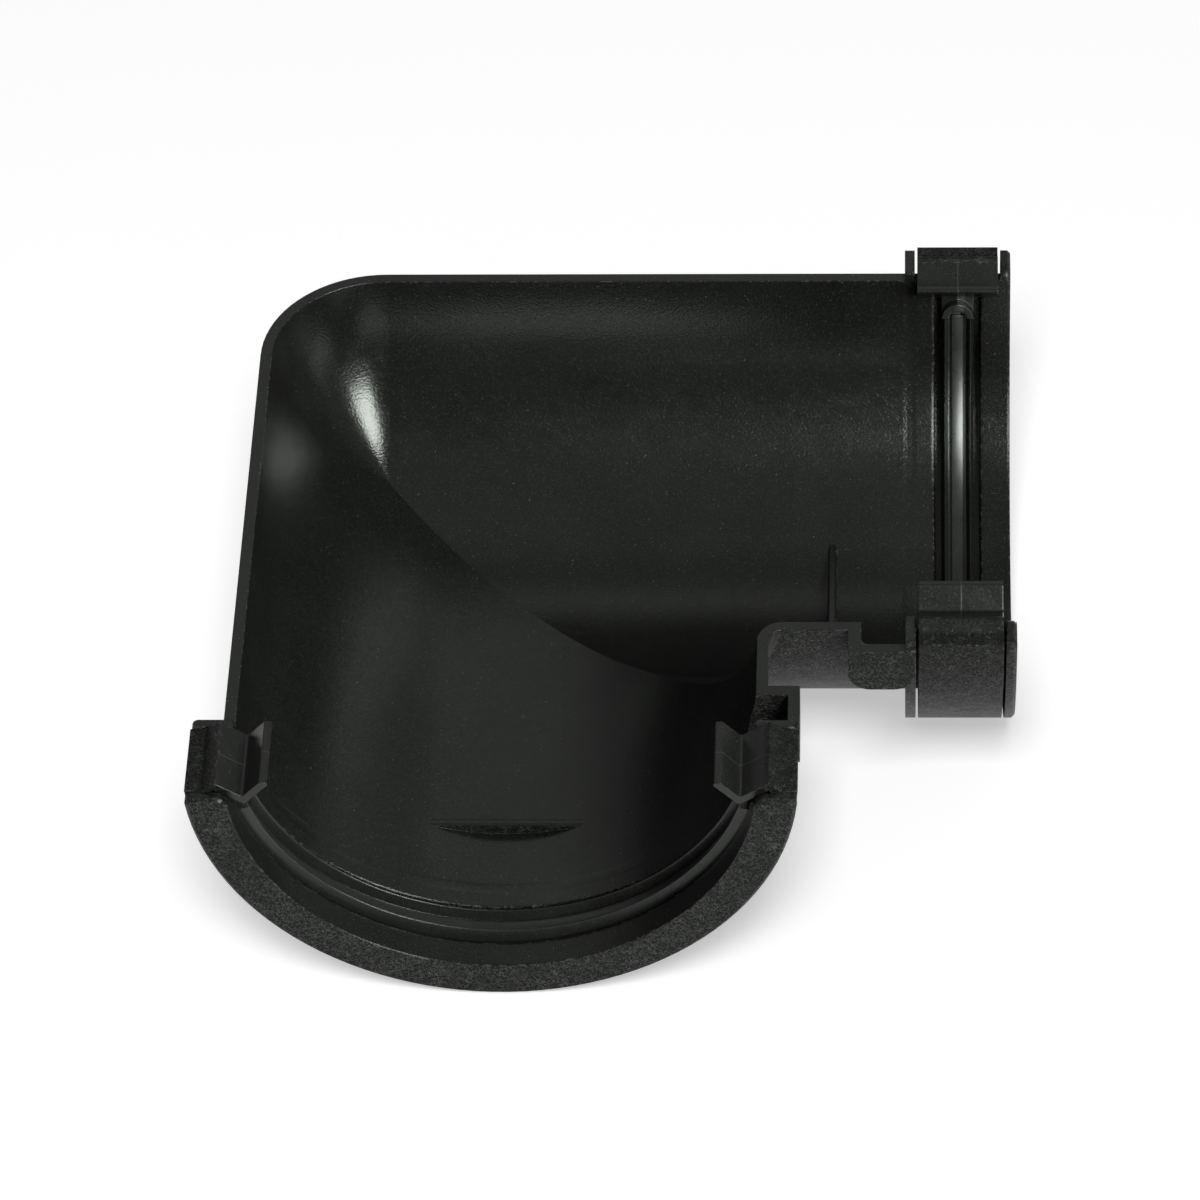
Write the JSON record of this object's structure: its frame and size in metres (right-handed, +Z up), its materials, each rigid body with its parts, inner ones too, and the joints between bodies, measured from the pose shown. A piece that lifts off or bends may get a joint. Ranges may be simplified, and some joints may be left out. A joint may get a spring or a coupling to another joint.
{
  "type": "gutter bend",
  "caption": "Half-round 90 degree gutter bend with a mitred trough, a rubber-sealed snap socket on each arm and hooked straps that hold the gutter ends.",
  "frame": {"origin": "middle of the underside of the part's box", "axes": "+Z up out of the open trough; the front socket opens along -Y and the side socket along +X"},
  "size_m": [0.181, 0.181, 0.0642],
  "materials": {
    "body_plastic": "satin moulded",
    "strap_plastic": "spark-eroded",
    "seal_rubber": "satin"
  },
  "bodies": {
    "root": {"bend_body": "body_plastic", "front_seal": "seal_rubber", "side_seal": "seal_rubber", "front_strap": "strap_plastic", "side_strap": "strap_plastic"}
  },
  "joints": []
}
